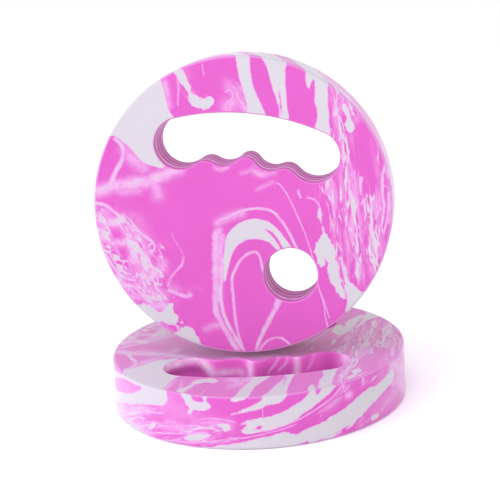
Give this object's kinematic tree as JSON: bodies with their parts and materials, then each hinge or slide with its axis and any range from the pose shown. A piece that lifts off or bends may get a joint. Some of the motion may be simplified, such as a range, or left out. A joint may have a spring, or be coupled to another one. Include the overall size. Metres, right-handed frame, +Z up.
{
  "type": "foam hand float discs",
  "caption": "Round marbled foam hand floats for water exercise, each with a finger slot and a thumb hole, one lying flat and one standing on its rim on top.",
  "frame": {"origin": "centre of the lying disc's underside, on the surface that the pair rests on", "axes": "+Z up out of the lying disc's top face; -Y to the side that the standing disc's front face looks to; +X to the right as seen from in front of the standing disc"},
  "size_m": [0.203, 0.2, 0.2388],
  "materials": {
    "marbled_foam": "matte closed-cell foam with pink and white marbling right through"
  },
  "bodies": {
    "lower": {"lower_disc": "marbled_foam"},
    "upper": {"upper_disc": "marbled_foam"}
  },
  "joints": [
    {"name": "lift_off", "type": "slide", "parent": "lower", "child": "upper", "axis": [0, 0, 1], "range_m": [0, 0.12]}
  ]
}
